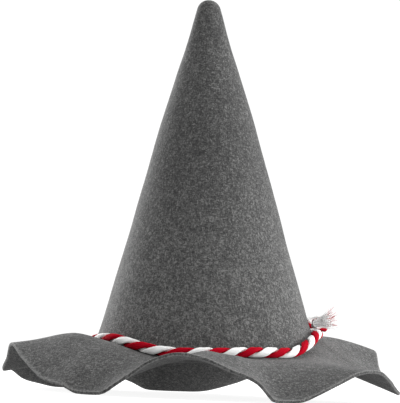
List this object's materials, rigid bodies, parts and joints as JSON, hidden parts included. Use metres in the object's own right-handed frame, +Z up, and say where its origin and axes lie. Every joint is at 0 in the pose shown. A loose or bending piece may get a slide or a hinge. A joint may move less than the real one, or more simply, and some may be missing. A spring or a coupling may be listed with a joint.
{
  "type": "pointed felt alpine hat",
  "caption": "Tall pointed hat moulded from one piece of grey felt, with a wavy brim and a twisted red and white cord knotted round the foot of the crown.",
  "frame": {"origin": "on the floor, under the middle of the hat's outline", "axes": "+Z up along the crown, -Y towards the front of the hat, +X towards the knot of the cord"},
  "size_m": [0.3646, 0.378, 0.364],
  "materials": {
    "felt": "thick grey melange wool felt, matt with a short nap",
    "yarn_red": "soft twisted red yarn",
    "yarn_white": "soft twisted white yarn"
  },
  "bodies": {
    "root": {"felt_body": "felt", "cord_red": "yarn_red", "cord_white": "yarn_white", "tuft_lower": "yarn_white", "tuft_upper": "yarn_red"}
  },
  "joints": []
}
